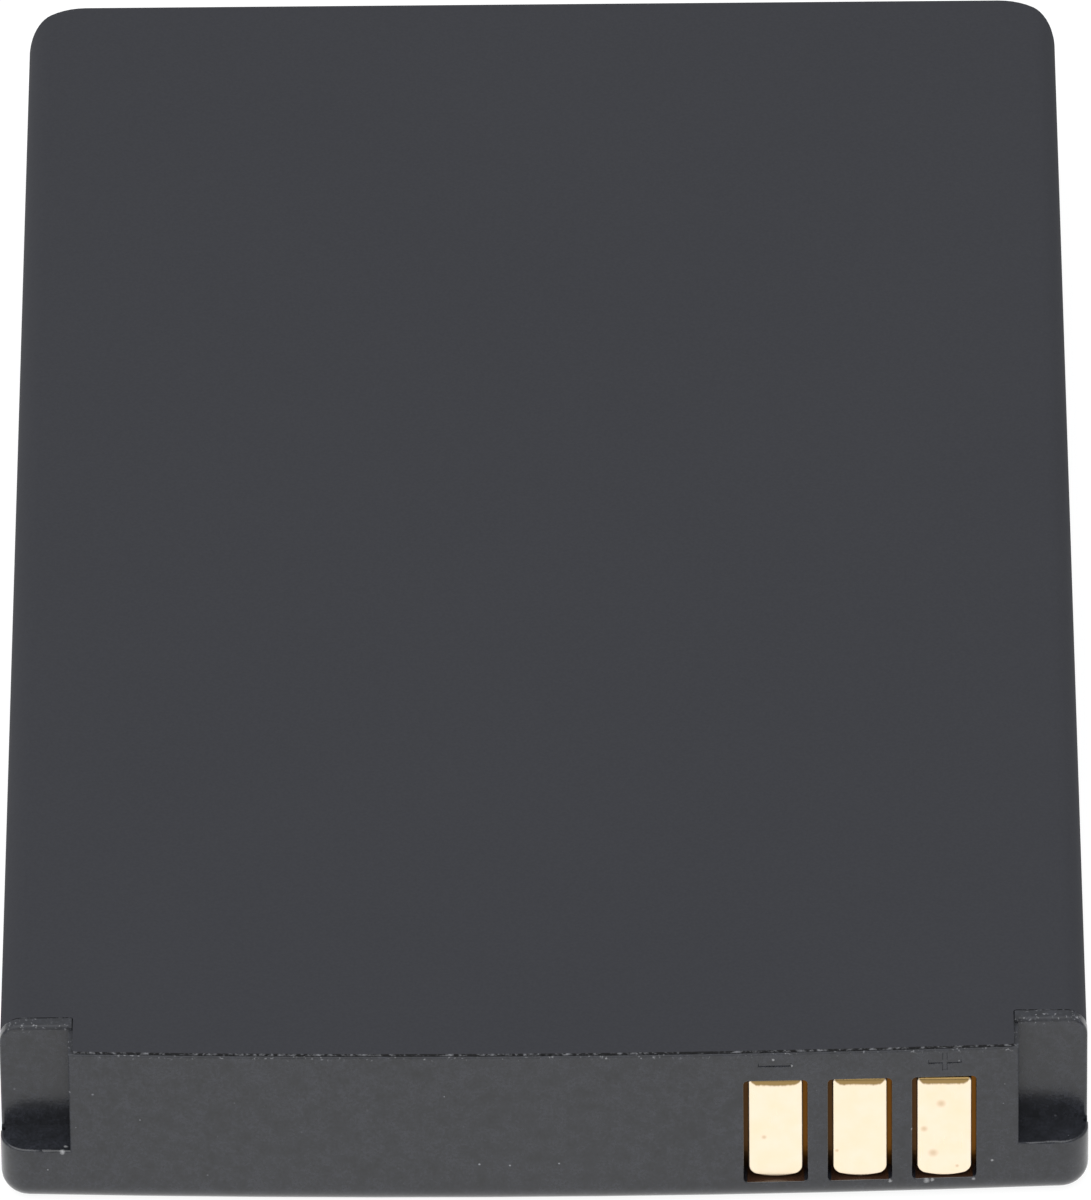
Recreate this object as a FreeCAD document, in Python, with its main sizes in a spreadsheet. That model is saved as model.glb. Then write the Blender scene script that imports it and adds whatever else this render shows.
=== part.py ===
# Mobile phone battery pack: sealed cell, two moulded end caps, protection board and wrapped film.
# X is across the pack, +Y runs away from the contact end, +Z is up; the origin is under the middle.
import FreeCAD, Part
import math
import operator
import os
import types

import Sketcher

SIZES = {
    # Pack as a whole
    "pack_width": 34.0,
    "pack_length": 57.0,
    "pack_thickness": 6.0,
    # Wrapped film
    "film_thickness": 0.08,
    "film_inset": 0.05,
    "film_margin": 0.04,
    "film_cut_radius": 0.1,
    "glue_gap": 0.02,
    "seam_gap": 0.2,
    "seam_offset": 8.0,
    # Contact end cap
    "end_bow": 0.4,
    "cap_lip": 1.45,
    "cap_depth": 4.6,
    "cap_end_wall": 0.9,
    "cap_skirt": 0.5,
    "cap_corner": 0.9,
    "cap_edge": 0.74,
    "cap_top_edge": 0.08,
    "notch_width": 2.2,
    "notch_depth": 1.65,
    "notch_height": 3.9,
    "notch_wall": 0.6,
    "notch_back_edge": 0.1,
    "collar_gap": 0.1,
    "collar_depth": 0.4,
    "collar_drop": 0.3,
    "collar_inset": 0.03,
    "collar_rim": 0.1,
    "hook_offset": 9.0,
    "hook_width": 2.5,
    "hook_overlap": 0.25,
    "hook_length": 0.8,
    "hook_flat": 0.25,
    # Contacts and their windows
    "window_notch_gap": 1.32,
    "contact_pitch": 2.63,
    "contact_width": 1.7,
    "contact_low_corner": 0.42,
    "contact_top_corner": 0.14,
    "contact_edge": 0.06,
    "contact_recess": 0.28,
    "window_side_gap": 0.15,
    "window_end_gap": 0.06,
    "window_base": 0.83,
    "window_height": 3.98,
    "window_corner": 0.15,
    "window_edge": 0.04,
    # Protection board and the pieces on it
    "board_thickness": 0.8,
    "board_side_gap": 0.15,
    "board_end_gap": 0.2,
    "board_corner": 0.3,
    "board_slack": 0.05,
    "land_thickness": 0.2,
    "land_height": 3.0,
    "negative_land_inset": 0.3,
    "negative_land_width": 2.3,
    "positive_land_place": 5.6,
    "positive_land_width": 3.4,
    "transistor_place": -6.5,
    "transistor_length": 4.4,
    "transistor_width": 3.0,
    "transistor_rise": 1.0,
    "protection_place": 0.3,
    "protection_length": 2.9,
    "protection_width": 1.6,
    "protection_rise": 1.1,
    "lead_width": 0.3,
    "lead_rise": 0.2,
    "transistor_lead_pitch": 0.65,
    "transistor_lead_reach": 1.0,
    "protection_lead_pitch": 0.95,
    "protection_lead_reach": 0.6,
    "resistor_place": -2.3,
    "resistor_spacing": 2.0,
    "resistor_width": 0.8,
    "resistor_length": 1.6,
    "resistor_rise": 0.45,
    "capacitor_place": 2.7,
    "capacitor_width": 0.8,
    "capacitor_length": 1.6,
    "capacitor_rise": 0.8,
    "thermistor_width": 2.0,
    "thermistor_length": 1.25,
    "thermistor_rise": 0.85,
    # Cell
    "can_corner": 0.6,
    "can_base_edge": 0.45,
    "lid_gap": 0.02,
    "lid_seam_inset": 0.5,
    "lid_seam_width": 0.15,
    "lid_seam_depth": 0.08,
    "fill_inset": 2.6,
    "fill_radius": 0.5,
    "fill_depth": 0.25,
    "rivet_radius": 1.1,
    "rivet_stand": 0.5,
    "rivet_edge": 0.15,
    "gasket_width": 0.5,
    "gasket_seat": 0.35,
    "gasket_stand": 0.25,
    "gasket_gap": 0.02,
    # Strips, heat switch and insulation on the lid
    "paper_thickness": 0.2,
    "paper_inset": 1.0,
    "paper_gap": 0.2,
    "plate_place": 9.6,
    "plate_width": 3.6,
    "plate_height": 3.0,
    "plate_thickness": 0.3,
    "strip_thickness": 0.15,
    "strip_width": 2.4,
    "strip_bend": 0.2,
    "strip_end_gap": 0.2,
    "cutoff_place": -6.4,
    "cutoff_length": 7.8,
    "cutoff_width": 3.0,
    "cutoff_thickness": 1.0,
    "cutoff_edge": 0.15,
    "cutoff_lead": 0.8,
    # Far end cap and its tape
    "far_lip": 2.0,
    "far_step": 0.5,
    "far_corner": 1.9,
    "far_edge": 0.5,
    "far_foot": 1.0,
    "core_count": 4.0,
    "core_pitch": 7.8,
    "core_width": 6.6,
    "core_height": 3.0,
    "core_depth": 1.3,
    "tape_thickness": 0.15,
    "tape_inset": 0.8,
}

doc = FreeCAD.newDocument("phone_battery")
sheet = doc.addObject("Spreadsheet::Sheet", "sizes")
for row, (alias, number) in enumerate(SIZES.items(), start=1):
    sheet.set(f"A{row}", alias.replace("_", " "))
    sheet.set(f"B{row}", str(number))
    sheet.setAlias(f"B{row}", alias)
doc.recompute()

SIGNS = {"+": operator.add, "-": operator.sub, "*": operator.mul, "/": operator.truediv}


class Size:
    """A length with the sheet expression that it comes from."""

    def __init__(self, text, value):
        self.text = text
        self.value = value

    def __add__(self, other):
        return combine(self, "+", other)

    def __radd__(self, other):
        return combine(other, "+", self)

    def __sub__(self, other):
        return combine(self, "-", other)

    def __rsub__(self, other):
        return combine(other, "-", self)

    def __mul__(self, other):
        return combine(self, "*", other)

    __rmul__ = __mul__

    def __truediv__(self, other):
        return combine(self, "/", other)

    def __neg__(self):
        return combine(0, "-", self)


def as_size(number):
    return number if isinstance(number, Size) else Size(f"{number}", float(number))


def combine(first, sign, second):
    first = as_size(first)
    second = as_size(second)
    return Size(f"({first.text} {sign} {second.text})", SIGNS[sign](first.value, second.value))


s = types.SimpleNamespace(**{name: Size(f"sizes.{name}", float(sheet.get(name))) for name in SIZES})


# Sketch and feature helpers

def bind(item, target, size):
    item.setExpression(target, as_size(size).text)


def new_body(name, x=0, y=0, z=0):
    body = doc.addObject("PartDesign::Body", name)
    body.Label = name
    for axis, place in zip("xyz", (x, y, z)):
        bind(body, f"Placement.Base.{axis}", place)
    return body


def origin_item(body, role):
    return next(item for item in body.Origin.OriginFeatures if item.Role == role)


def new_sketch(body, name, role, offset):
    sketch = body.newObject("Sketcher::SketchObject", name)
    sketch.AttachmentSupport = [(origin_item(body, role), "")]
    sketch.MapMode = "FlatFace"
    bind(sketch, "AttachmentOffset.Base.z", offset)
    return sketch


def end_sketch(body, name, depth):
    """Sketch parallel to the end faces, depth being its place along Y."""
    return new_sketch(body, name, "XZ_Plane", 0 - as_size(depth))


def plan_sketch(body, name, level):
    return new_sketch(body, name, "XY_Plane", level)


def locate(sketch, line, point, axis, size):
    size = as_size(size)
    number = sketch.addConstraint(Sketcher.Constraint(f"Distance{axis}", -1, 1, line, point, size.value))
    bind(sketch, f"Constraints[{number}]", size)


def rectangle(sketch, left, right, low, high, radii=(None, None, None, None)):
    """Upright rectangle; radii run from the lower left corner anticlockwise."""
    left, right, low, high = [as_size(size) for size in (left, right, low, high)]
    corners = [(left, low), (right, low), (right, high), (left, high)]
    radii = [None if radius is None else as_size(radius) for radius in radii]
    steps = [(1, 0), (0, 1), (-1, 0), (0, -1)]
    lines = []
    for number, (across, up) in enumerate(steps):
        start, end = corners[number], corners[(number + 1) % 4]
        lead = radii[number].value if radii[number] else 0.0
        tail = radii[(number + 1) % 4].value if radii[(number + 1) % 4] else 0.0
        first = FreeCAD.Vector(start[0].value + across * lead, start[1].value + up * lead, 0)
        last = FreeCAD.Vector(end[0].value - across * tail, end[1].value - up * tail, 0)
        lines.append(sketch.addGeometry(Part.LineSegment(first, last)))
        sketch.addConstraint(Sketcher.Constraint("Vertical" if up else "Horizontal", lines[-1]))
    for number, radius in enumerate(radii):
        before, after = lines[number - 1], lines[number]
        if radius is None:
            sketch.addConstraint(Sketcher.Constraint("Coincident", before, 2, after, 1))
            continue
        across = 1 if number in (0, 3) else -1
        up = 1 if number in (0, 1) else -1
        corner_x, corner_y = (size.value for size in corners[number])
        centre = FreeCAD.Vector(corner_x + across * radius.value, corner_y + up * radius.value, 0)
        circle = Part.Circle(centre, FreeCAD.Vector(0, 0, 1), radius.value)
        turn = math.pi * (1 + number / 2)
        arc = sketch.addGeometry(Part.ArcOfCircle(circle, turn, turn + math.pi / 2))
        sketch.addConstraint(Sketcher.Constraint("Tangent", before, 2, arc, 1))
        sketch.addConstraint(Sketcher.Constraint("Tangent", arc, 2, after, 1))
        mark = sketch.addConstraint(Sketcher.Constraint("Radius", arc, radius.value))
        bind(sketch, f"Constraints[{mark}]", radius)
    for line, axis, size in zip(lines, "YXYX", (low, right, high, left)):
        locate(sketch, line, 1, axis, size)


def polygon(sketch, points):
    points = [(as_size(x), as_size(y)) for x, y in points]
    corners = [FreeCAD.Vector(x.value, y.value, 0) for x, y in points]
    ends = corners[1:] + corners[:1]
    lines = [sketch.addGeometry(Part.LineSegment(a, b)) for a, b in zip(corners, ends)]
    for number, line in enumerate(lines):
        sketch.addConstraint(Sketcher.Constraint("Coincident", lines[number - 1], 2, line, 1))
    for line, (x, y) in zip(lines, points):
        locate(sketch, line, 1, "X", x)
        locate(sketch, line, 1, "Y", y)


def bowed_plate(sketch, half, front, rear, corner):
    """Plate with a bowed front edge between round corners, front being its place on the middle line."""
    half, rear, corner = [as_size(size) for size in (half, rear, corner)]
    radius = bow_radius - front
    across = half.value - corner.value
    lean = math.asin(across / (radius.value - corner.value))
    middle = bow_radius.value - (radius.value - corner.value) * math.cos(lean)
    bow = Part.Circle(FreeCAD.Vector(0, bow_radius.value, 0), FreeCAD.Vector(0, 0, 1), radius.value)
    rounds = [Part.Circle(FreeCAD.Vector(side * across, middle, 0), FreeCAD.Vector(0, 0, 1), corner.value)
              for side in (-1, 1)]
    ends = [FreeCAD.Vector(side * half.value, level, 0) for side in (-1, 1) for level in (middle, rear.value)]
    down = -math.pi / 2
    chain = [
        Part.LineSegment(ends[1], ends[0]), Part.ArcOfCircle(rounds[0], -math.pi, down - lean),
        Part.ArcOfCircle(bow, down - lean, down + lean), Part.ArcOfCircle(rounds[1], down + lean, 0),
        Part.LineSegment(ends[2], ends[3]), Part.LineSegment(ends[3], ends[1]),
    ]
    items = [sketch.addGeometry(item) for item in chain]
    for first, second in zip(items[:4], items[1:5]):
        sketch.addConstraint(Sketcher.Constraint("Tangent", first, 2, second, 1))
    for first, second in ((items[4], items[5]), (items[5], items[0])):
        sketch.addConstraint(Sketcher.Constraint("Coincident", first, 2, second, 1))
    for item, kind in ((items[0], "Vertical"), (items[4], "Vertical"), (items[5], "Horizontal")):
        sketch.addConstraint(Sketcher.Constraint(kind, item))
    for item, size in ((items[1], corner), (items[2], radius), (items[3], corner)):
        mark = sketch.addConstraint(Sketcher.Constraint("Radius", item, size.value))
        bind(sketch, f"Constraints[{mark}]", size)
    sketch.addConstraint(Sketcher.Constraint("PointOnObject", items[2], 3, -2))
    locate(sketch, items[2], 3, "Y", bow_radius)
    locate(sketch, items[0], 1, "X", -half)
    locate(sketch, items[4], 1, "X", half)
    locate(sketch, items[5], 1, "Y", rear)


def circle(sketch, x, y, radius):
    radius = as_size(radius)
    centre = FreeCAD.Vector(as_size(x).value, as_size(y).value, 0)
    ring = sketch.addGeometry(Part.Circle(centre, FreeCAD.Vector(0, 0, 1), radius.value))
    mark = sketch.addConstraint(Sketcher.Constraint("Radius", ring, radius.value))
    bind(sketch, f"Constraints[{mark}]", radius)
    locate(sketch, ring, 3, "X", x)
    locate(sketch, ring, 3, "Y", y)


def extrude(kind, body, sketch, length, reverse, both=False):
    feature = body.newObject(f"PartDesign::{kind}", f"{sketch.Name}_{kind.lower()}")
    feature.Profile = sketch
    bind(feature, "Length", length)
    feature.Reversed = reverse
    if both:
        feature.SideType = "Symmetric"
    return feature


def pad(body, sketch, length, reverse=False, both=False):
    return extrude("Pad", body, sketch, length, reverse, both)


def pad_in(body, sketch, length):
    """Pad from an end sketch along +Y."""
    return extrude("Pad", body, sketch, length, True)


def pocket(body, sketch, length, reverse=False):
    return extrude("Pocket", body, sketch, length, reverse)


def mirror(body, feature):
    copy = body.newObject("PartDesign::Mirrored", f"{feature.Name}_mirrored")
    copy.Originals = [feature]
    copy.MirrorPlane = (origin_item(body, "YZ_Plane"), [""])
    body.Tip = copy
    return copy


def row(body, feature, length, count):
    """Repeats a feature along X over a length."""
    copy = body.newObject("PartDesign::LinearPattern", f"{feature.Name}_row")
    copy.Originals = [feature]
    copy.Direction = (origin_item(body, "X_Axis"), [""])
    bind(copy, "Length", length)
    bind(copy, "Occurrences", count)
    body.Tip = copy
    return copy


def soften(body, base, radius, chosen, kind="Fillet"):
    """Rounds or bevels the edges whose bounding box passes the test."""
    doc.recompute()
    boxes = [edge.BoundBox for edge in base.Shape.Edges]
    names = [f"Edge{number}" for number, box in enumerate(boxes, start=1) if chosen(box)]
    feature = body.newObject(f"PartDesign::{kind}", f"{base.Name}_{kind.lower()}")
    feature.Base = (base, names)
    bind(feature, "Radius" if kind == "Fillet" else "Size", radius)
    body.Tip = feature
    return feature


def near(first, second):
    return abs(first - as_size(second).value) < 1e-4


# Levels and faces that several pieces share

contact_face = -s.pack_length / 2
far_face = s.pack_length / 2
half_width = s.pack_width / 2
bow_radius = (half_width * half_width + s.end_bow * s.end_bow) / (2 * s.end_bow)
film_wall = s.film_inset + s.film_thickness + s.glue_gap
core_half = half_width - film_wall
core_low = film_wall
core_high = s.pack_thickness - s.film_thickness - s.glue_gap
core_middle = (core_low + core_high) / 2
core_height = core_high - core_low
cavity_half = core_half - s.cap_skirt
cavity_low = core_low + s.cap_skirt
cavity_high = core_high - s.cap_skirt
notch_side = half_width - s.notch_width
notch_floor = s.pack_thickness - s.notch_height
collar_half = half_width - s.collar_inset
collar_end = s.notch_depth + s.collar_depth
collar_side = notch_side - s.collar_rim
collar_low = notch_floor - s.collar_drop
film_bed = s.film_thickness + s.glue_gap
inner_radius = s.can_corner + s.glue_gap
outer_radius = inner_radius + s.film_thickness
film_outer = half_width - s.film_inset
board_back = s.cap_end_wall + s.board_thickness
lid_face = s.cap_depth + s.lid_gap
core_radii = (s.can_corner,) * 4
window_width = s.contact_width + 2 * s.window_side_gap
positive_place = notch_side - s.window_notch_gap - window_width / 2


# Contact end cap

cap = new_body("contact_end_cap", y=contact_face)
sketch = plan_sketch(cap, "cap_lip", 0)
bowed_plate(sketch, half_width, 0, s.cap_lip, s.cap_corner)
lip = pad(cap, sketch, core_high)
lip = soften(cap, lip, s.cap_edge, lambda box: near(box.ZMax, 0) and box.YMin < s.cap_lip.value - 0.01)

sketch = end_sketch(cap, "cap_collar", s.cap_lip + s.collar_gap)
rectangle(sketch, -collar_half, collar_half, collar_low, s.pack_thickness,
          (None, None, outer_radius, outer_radius))
pad_in(cap, sketch, collar_end - s.cap_lip - s.collar_gap)
sketch = plan_sketch(cap, "cap_film_bed", s.pack_thickness)
rectangle(sketch, -collar_side, collar_side, 0, collar_end + 1)
pocket(cap, sketch, film_bed)

sketch = end_sketch(cap, "cap_skirt", s.cap_corner)
rectangle(sketch, -core_half, core_half, core_low, core_high, core_radii)
pad_in(cap, sketch, s.cap_depth - s.cap_corner)

cavity_split = s.notch_depth + s.notch_wall
sketch = end_sketch(cap, "cap_rear_cavity", s.cap_depth)
rectangle(sketch, -cavity_half, cavity_half, cavity_low, cavity_high)
pocket(cap, sketch, s.cap_depth - cavity_split, reverse=True)

inner_half = notch_side - s.notch_wall
inner_floor = notch_floor - s.notch_wall
sketch = end_sketch(cap, "cap_board_cavity", cavity_split)
polygon(sketch, [
    (-cavity_half, cavity_low), (cavity_half, cavity_low),
    (cavity_half, inner_floor), (inner_half, inner_floor),
    (inner_half, cavity_high), (-inner_half, cavity_high),
    (-inner_half, inner_floor), (-cavity_half, inner_floor),
])
pocket(cap, sketch, cavity_split - s.cap_end_wall, reverse=True)

sketch = end_sketch(cap, "cap_notch", 0)
rectangle(sketch, notch_side, half_width + 1, notch_floor, s.pack_thickness + 1)
mirror(cap, pocket(cap, sketch, s.notch_depth))

window_left = positive_place - 2 * s.contact_pitch - window_width / 2
sketch = end_sketch(cap, "cap_window", 0)
rectangle(sketch, window_left, window_left + window_width, s.window_base, s.window_base + s.window_height,
          (s.window_corner,) * 4)
row(cap, pocket(cap, sketch, s.cap_end_wall), 2 * s.contact_pitch, 3)

hook_face = board_back + s.board_slack
hook_reach = s.board_end_gap + s.hook_overlap
sketch = new_sketch(cap, "cap_hook", "YZ_Plane", s.hook_offset)
for wall, side in ((cavity_low, 1), (cavity_high, -1)):
    tip = wall + side * hook_reach
    root = wall - side * s.cap_skirt / 2
    heel = hook_face + s.hook_length
    polygon(sketch, [
        (hook_face, root), (hook_face, tip), (hook_face + s.hook_flat, tip), (heel, wall), (heel, root),
    ])
hooks = mirror(cap, pad(cap, sketch, s.hook_width, both=True))


def on_window_rim(box):
    inside = window_left.value - 0.01 < box.XMin and box.XMax < notch_side.value - 0.01
    front = box.YMax < s.end_bow.value + 0.01
    return front and inside and box.ZMax < s.window_base.value + s.window_height.value + 0.01


def on_notch_back(box):
    back = near(box.YMin, s.notch_depth) and near(box.YMax, s.notch_depth)
    upright = near(max(-box.XMin, box.XMax), collar_half) and box.ZLength > 0.01
    top = max(-box.XMin, box.XMax) > notch_side.value + 0.01 and near(box.ZMax, s.pack_thickness)
    return back and (upright or top)


def on_front_rim(box):
    front = box.YMax < s.end_bow.value + 0.01
    post = near(abs(box.XMin), notch_side) and near(box.XMin, box.XMax) and box.ZLength > 1
    level = near(box.ZMin, notch_floor) and near(box.ZMax, notch_floor)
    shelf = level and box.YMax < s.cap_lip.value + 0.01
    return front and (post or near(box.ZMin, core_high)) or shelf


rim = soften(cap, hooks, s.notch_back_edge, on_notch_back)
rim = soften(cap, rim, s.window_edge, on_window_rim)
soften(cap, rim, s.cap_top_edge, on_front_rim)


# Contacts, one behind each window

contact_low = s.window_base + s.window_end_gap
contact_height = s.window_height - 2 * s.window_end_gap
contacts = []
for number, name in enumerate(("contact_negative", "contact_sense", "contact_positive")):
    place = positive_place - (2 - number) * s.contact_pitch
    contact = new_body(name, place, contact_face + s.contact_recess, contact_low)
    sketch = end_sketch(contact, f"{name}_face", 0)
    corners = (s.contact_low_corner,) * 2 + (s.contact_top_corner,) * 2
    rectangle(sketch, -s.contact_width / 2, s.contact_width / 2, 0, contact_height, corners)
    block = pad_in(contact, sketch, s.cap_end_wall - s.contact_recess)
    soften(contact, block, s.contact_edge, lambda box: near(box.YMax, 0), "Chamfer")
    contacts.append(contact)


# Protection board, clipped between the end wall and the hooks

board_half = inner_half - s.board_side_gap
board_height = cavity_high - cavity_low - 2 * s.board_end_gap
board = new_body("protection_board", 0, contact_face + s.cap_end_wall, core_middle)
sketch = end_sketch(board, "board_outline", 0)
rectangle(sketch, -board_half, board_half, -board_height / 2, board_height / 2, (s.board_corner,) * 4)
pad_in(board, sketch, s.board_thickness)


def mounted_block(name, x, width, height, rise):
    """Block soldered on the rear of the board, at a place across it."""
    body = new_body(name, x, contact_face + board_back, core_middle)
    outline = end_sketch(body, f"{name}_outline", 0)
    rectangle(outline, -width / 2, width / 2, -height / 2, height / 2)
    pad_in(body, outline, rise)
    return body


def add_leads(body, reach_from, reach, pitch, count, upright):
    """Two rows of leads that stand out of a chip at the board."""
    leads = end_sketch(body, f"{body.Name}_leads", 0)
    for number in range(count):
        middle = (number - (count - 1) / 2) * pitch
        for side in (1, -1):
            ends = (reach_from - s.lead_rise, reach_from + reach)
            near_end, far_end = ends if side == 1 else (-ends[1], -ends[0])
            sides = (middle - s.lead_width / 2, middle + s.lead_width / 2)
            box = (*sides, near_end, far_end) if upright else (near_end, far_end, *sides)
            rectangle(leads, *box)
    pad_in(body, leads, s.lead_rise)


negative_place = s.negative_land_inset + s.negative_land_width / 2 - board_half
negative_land = mounted_block("negative_land", negative_place, s.negative_land_width, s.land_height,
                              s.land_thickness)
positive_land = mounted_block("positive_land", s.positive_land_place, s.positive_land_width, s.land_height,
                              s.land_thickness)
transistor = mounted_block("switch_transistor", s.transistor_place, s.transistor_length, s.transistor_width,
                           s.transistor_rise)
add_leads(transistor, s.transistor_length / 2, s.transistor_lead_reach, s.transistor_lead_pitch, 4, False)
protection = mounted_block("protection_chip", s.protection_place, s.protection_length, s.protection_width,
                           s.protection_rise)
add_leads(protection, s.protection_width / 2, s.protection_lead_reach, s.protection_lead_pitch, 3, True)
capacitor = mounted_block("chip_capacitor", s.capacitor_place, s.capacitor_width, s.capacitor_length,
                          s.capacitor_rise)
thermistor = mounted_block("thermistor", positive_place, s.thermistor_width, s.thermistor_length,
                           s.thermistor_rise)

chips = []
for number, side in enumerate((-1, 1)):
    chip = doc.addObject("Part::Box", f"chip_resistor_{number}")
    bind(chip, "Length", s.resistor_width)
    bind(chip, "Width", s.resistor_rise)
    bind(chip, "Height", s.resistor_length)
    bind(chip, "Placement.Base.x", -s.resistor_width / 2)
    bind(chip, "Placement.Base.z", side * s.resistor_spacing / 2 - s.resistor_length / 2)
    chips.append(chip)
resistors = doc.addObject("Part::Compound", "chip_resistors")
resistors.Links = chips
for axis, place in zip("xyz", (s.resistor_place, contact_face + board_back, core_middle)):
    bind(resistors, f"Placement.Base.{axis}", place)


# Sealed cell with its crimped terminal

gasket_radius = s.rivet_radius + s.gasket_gap + s.gasket_width
can_length = s.pack_length - lid_face - s.far_lip - s.far_step - s.tape_thickness
can = new_body("cell_can", 0, contact_face + lid_face, core_middle)
sketch = end_sketch(can, "can_section", 0)
rectangle(sketch, -core_half, core_half, -core_height / 2, core_height / 2, core_radii)
drawn = pad_in(can, sketch, can_length)
soften(can, drawn, s.can_base_edge, lambda box: near(box.YMin, can_length))

sketch = end_sketch(can, "lid_seam", 0)
for inset in (s.lid_seam_inset, s.lid_seam_inset + s.lid_seam_width):
    across = core_half - inset
    up = core_height / 2 - inset
    rectangle(sketch, -across, across, -up, up)
pocket(can, sketch, s.lid_seam_depth)
sketch = end_sketch(can, "lid_terminal_seat", 0)
circle(sketch, 0, 0, gasket_radius + s.gasket_gap)
pocket(can, sketch, s.gasket_seat)
sketch = end_sketch(can, "lid_fill_hole", 0)
circle(sketch, core_half - s.fill_inset, 0, s.fill_radius)
pocket(can, sketch, s.fill_depth)

seat_depth = contact_face + lid_face + s.gasket_seat
gasket = new_body("terminal_gasket", 0, seat_depth, core_middle)
sketch = end_sketch(gasket, "gasket_ring", 0)
circle(sketch, 0, 0, gasket_radius)
circle(sketch, 0, 0, s.rivet_radius + s.gasket_gap)
pad(gasket, sketch, s.gasket_seat + s.gasket_stand)

rivet = new_body("terminal_rivet", 0, seat_depth, core_middle)
sketch = end_sketch(rivet, "rivet_shank", 0)
circle(sketch, 0, 0, s.rivet_radius)
rivet_length = s.gasket_seat + s.rivet_stand
shank = pad(rivet, sketch, rivet_length)
soften(rivet, shank, s.rivet_edge, lambda box: near(box.YMax, -rivet_length), "Chamfer")


# Insulating paper, weld plate, heat switch and strips in front of the lid

lid = contact_face + lid_face
paper = new_body("lid_insulator", 0, lid, core_middle)
sketch = end_sketch(paper, "paper_outline", 0)
paper_up = core_height / 2 - s.paper_inset
paper_left = s.paper_inset - core_half
paper_right = s.plate_place + s.plate_width / 2 + s.paper_inset
rectangle(sketch, paper_left, paper_right, -paper_up, paper_up)
circle(sketch, 0, 0, gasket_radius + s.paper_gap)
plate_cut = s.plate_width / 2 + s.paper_gap
plate_cut_up = s.plate_height / 2 + s.paper_gap
rectangle(sketch, s.plate_place - plate_cut, s.plate_place + plate_cut, -plate_cut_up, plate_cut_up)
pad(paper, sketch, s.paper_thickness)

plate = new_body("weld_plate", s.plate_place, lid, core_middle)
sketch = end_sketch(plate, "plate_outline", 0)
rectangle(sketch, -s.plate_width / 2, s.plate_width / 2, -s.plate_height / 2, s.plate_height / 2)
pad(plate, sketch, s.plate_thickness)

cutoff = new_body("thermal_cutoff", s.cutoff_place, lid - s.paper_thickness, core_middle)
sketch = end_sketch(cutoff, "cutoff_outline", 0)
rectangle(sketch, -s.cutoff_length / 2, s.cutoff_length / 2, -s.cutoff_width / 2, s.cutoff_width / 2)
shell = pad(cutoff, sketch, s.cutoff_thickness)
soften(cutoff, shell, s.cutoff_edge, lambda box: near(box.YMax, -s.cutoff_thickness))

rivet_top = lid_face - s.rivet_stand
cell_lead = new_body("cutoff_lead_cell", 0, contact_face + rivet_top, core_middle)
sketch = end_sketch(cell_lead, "cell_lead_outline", 0)
rectangle(sketch, s.cutoff_place + s.cutoff_length / 2, s.rivet_radius, -s.strip_width / 2, s.strip_width / 2)
pad(cell_lead, sketch, s.strip_thickness)


def bent_strip(name, right, bend, left, rear):
    """Strip that lies against a rear face, crosses to the board and lies on its land."""
    body = new_body(name, 0, contact_face, core_middle)
    profile = plan_sketch(body, f"{name}_profile", 0)
    front = board_back + s.land_thickness
    inner = bend - s.strip_thickness
    polygon(profile, [
        (right, rear), (inner, rear), (inner, front + s.strip_thickness), (left, front + s.strip_thickness),
        (left, front), (bend, front), (bend, rear - s.strip_thickness), (right, rear - s.strip_thickness),
    ])
    strip = pad(body, profile, s.strip_width, both=True)
    soften(body, strip, s.strip_bend, lambda box: box.ZLength > 1 and left.value < box.XMin < right.value)
    return body


def land_ends(place, width):
    return place - width / 2 + s.strip_end_gap, place + width / 2


negative_left, negative_right = land_ends(negative_place, s.negative_land_width)
cutoff_end = s.cutoff_place - s.cutoff_length / 2
board_lead = bent_strip("cutoff_lead_board", cutoff_end, cutoff_end - s.cutoff_lead, negative_left, rivet_top)
positive_left, positive_right = land_ends(s.positive_land_place, s.positive_land_width)
plate_end = s.plate_place + s.plate_width / 2 - s.strip_end_gap
plate_top = lid_face - s.plate_thickness
positive_tab = bent_strip("positive_tab", plate_end, positive_right, positive_left, plate_top)


# Far end cap with its tape

far_depth = s.far_lip + s.far_step
far = new_body("far_end_cap", y=far_face)
sketch = plan_sketch(far, "far_foot", 0)
rectangle(sketch, -half_width, half_width, -s.far_lip, 0, (None, None, s.far_corner, s.far_corner))
foot = pad(far, sketch, s.far_foot)
soften(far, foot, s.far_edge, lambda box: near(box.ZMax, 0) and box.YMax > 0.01 - s.far_lip.value)
sketch = end_sketch(far, "far_block", -s.far_lip)
rectangle(sketch, -core_half, core_half, s.far_foot, core_high, (None, None, s.can_corner, s.can_corner))
pad_in(far, sketch, s.far_lip)
sketch = end_sketch(far, "far_spigot", -s.far_lip)
rectangle(sketch, -core_half, core_half, core_low, core_high, core_radii)
pad(far, sketch, s.far_step)
trim_half = half_width - s.film_margin
trim_corner = s.far_corner - s.film_margin
sketch = plan_sketch(far, "far_trim", s.pack_thickness)
rectangle(sketch, -half_width - 1, half_width + 1, -far_depth - 2, 1)
rectangle(sketch, -trim_half, trim_half, -far_depth - 1, -s.film_margin, (None, None, trim_corner, trim_corner))
pocket(far, sketch, s.pack_thickness - s.far_foot)
core_run = (s.core_count - 1) * s.core_pitch
core_left = -core_run / 2 - s.core_width / 2
sketch = end_sketch(far, "far_core", -far_depth)
rectangle(sketch, core_left, core_left + s.core_width, core_middle - s.core_height / 2,
          core_middle + s.core_height / 2)
row(far, pocket(far, sketch, s.core_depth), core_run, s.core_count)

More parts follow.
